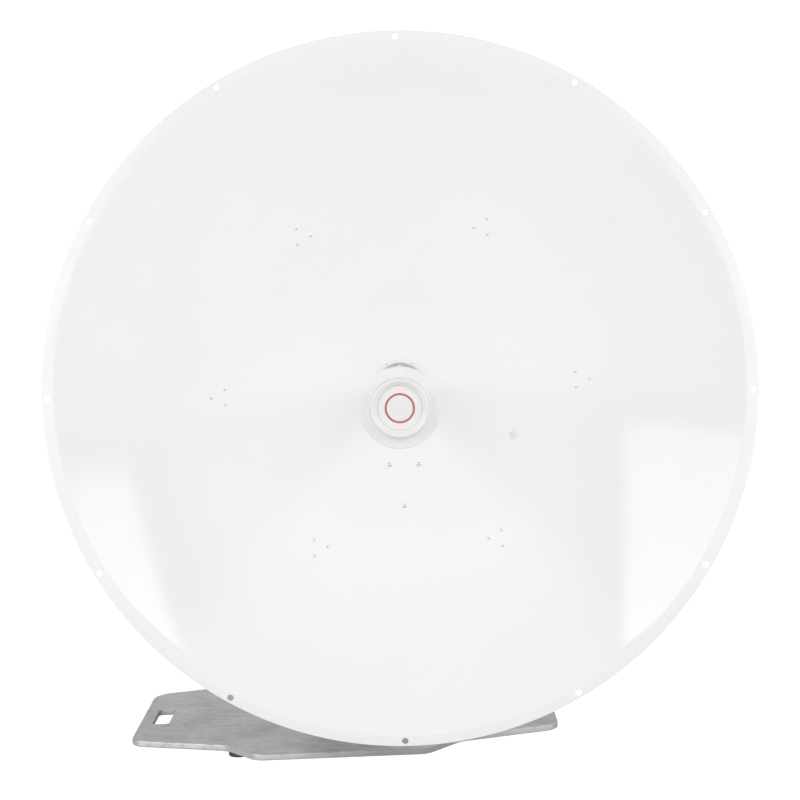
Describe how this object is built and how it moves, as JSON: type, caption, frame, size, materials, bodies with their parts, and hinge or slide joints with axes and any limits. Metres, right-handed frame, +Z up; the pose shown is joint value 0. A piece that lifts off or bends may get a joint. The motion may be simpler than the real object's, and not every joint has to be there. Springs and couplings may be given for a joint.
{
  "type": "microwave dish antenna on a mast and base plate",
  "caption": "White parabolic microwave dish with a capped front feed on a short steel mast and a flat base plate; the dish turns about the mast and tilts on its yoke.",
  "frame": {"origin": "on the floor, under the middle of the object's box; X = 0 is the dish's axis", "axes": "+Z up; the dish looks along -Y; +X to the right of someone who faces the dish"},
  "size_m": [1.2, 1.007, 1.27],
  "materials": {
    "galvanised": "hot-dip galvanised steel plate, matt and faintly streaked",
    "cast_aluminium": "cast aluminium, fine sand texture",
    "zinc": "zinc-plated steel, satin",
    "white_skin": "spun aluminium under smooth glossy white paint",
    "dark_metal": "dark grey anodised aluminium",
    "bare_aluminium": "machined aluminium, satin",
    "off_white_plastic": "moulded off-white plastic, satin",
    "black_plastic": "moulded black plastic",
    "rubber": "black rubber"
  },
  "bodies": {
    "stand": {"base_plate": "galvanised", "foot_front_left": "rubber", "foot_front_right": "rubber", "foot_rear_left": "rubber", "foot_rear_right": "rubber", "mast_socket": "galvanised", "mast": "galvanised", "mast_cap": "black_plastic", "mast_collar": "galvanised"},
    "azimuth_mount": {"azimuth_bracket": "galvanised", "saddle_lower": "cast_aluminium", "saddle_upper": "cast_aluminium", "clamp_jaw_lower": "cast_aluminium", "clamp_jaw_upper": "cast_aluminium", "clamp_stud_lower_left": "zinc", "clamp_stud_lower_right": "zinc", "clamp_stud_upper_left": "zinc", "clamp_stud_upper_right": "zinc", "pivot_bolt": "zinc", "lock_bolt_left": "zinc", "lock_bolt_right": "zinc"},
    "dish": {"elevation_yoke": "galvanised", "back_frame": "galvanised", "frame_pad_1": "cast_aluminium", "frame_pad_2": "cast_aluminium", "frame_pad_3": "cast_aluminium", "frame_pad_4": "cast_aluminium", "frame_pad_5": "cast_aluminium", "frame_pad_6": "cast_aluminium", "reflector": "white_skin", "hub_disc": "dark_metal", "hub_sleeve": "cast_aluminium", "hub_ring": "zinc", "feed_tube": "bare_aluminium", "waveguide_flange": "bare_aluminium", "dielectric_cone": "off_white_plastic", "splash_plate": "bare_aluminium", "feed_cap": "off_white_plastic", "lashing_lug": "galvanised"}
  },
  "joints": [
    {"name": "azimuth", "type": "hinge", "parent": "stand", "child": "azimuth_mount", "pos_m": [-0.131, 0.2145, 0.595], "axis": [0, 0, 1], "range_deg": [-180, 180]},
    {"name": "elevation", "type": "hinge", "parent": "azimuth_mount", "child": "dish", "pos_m": [-0.131, 0.0925, 0.595], "axis": [-1, 0, 0], "range_deg": [-5, 15]}
  ]
}
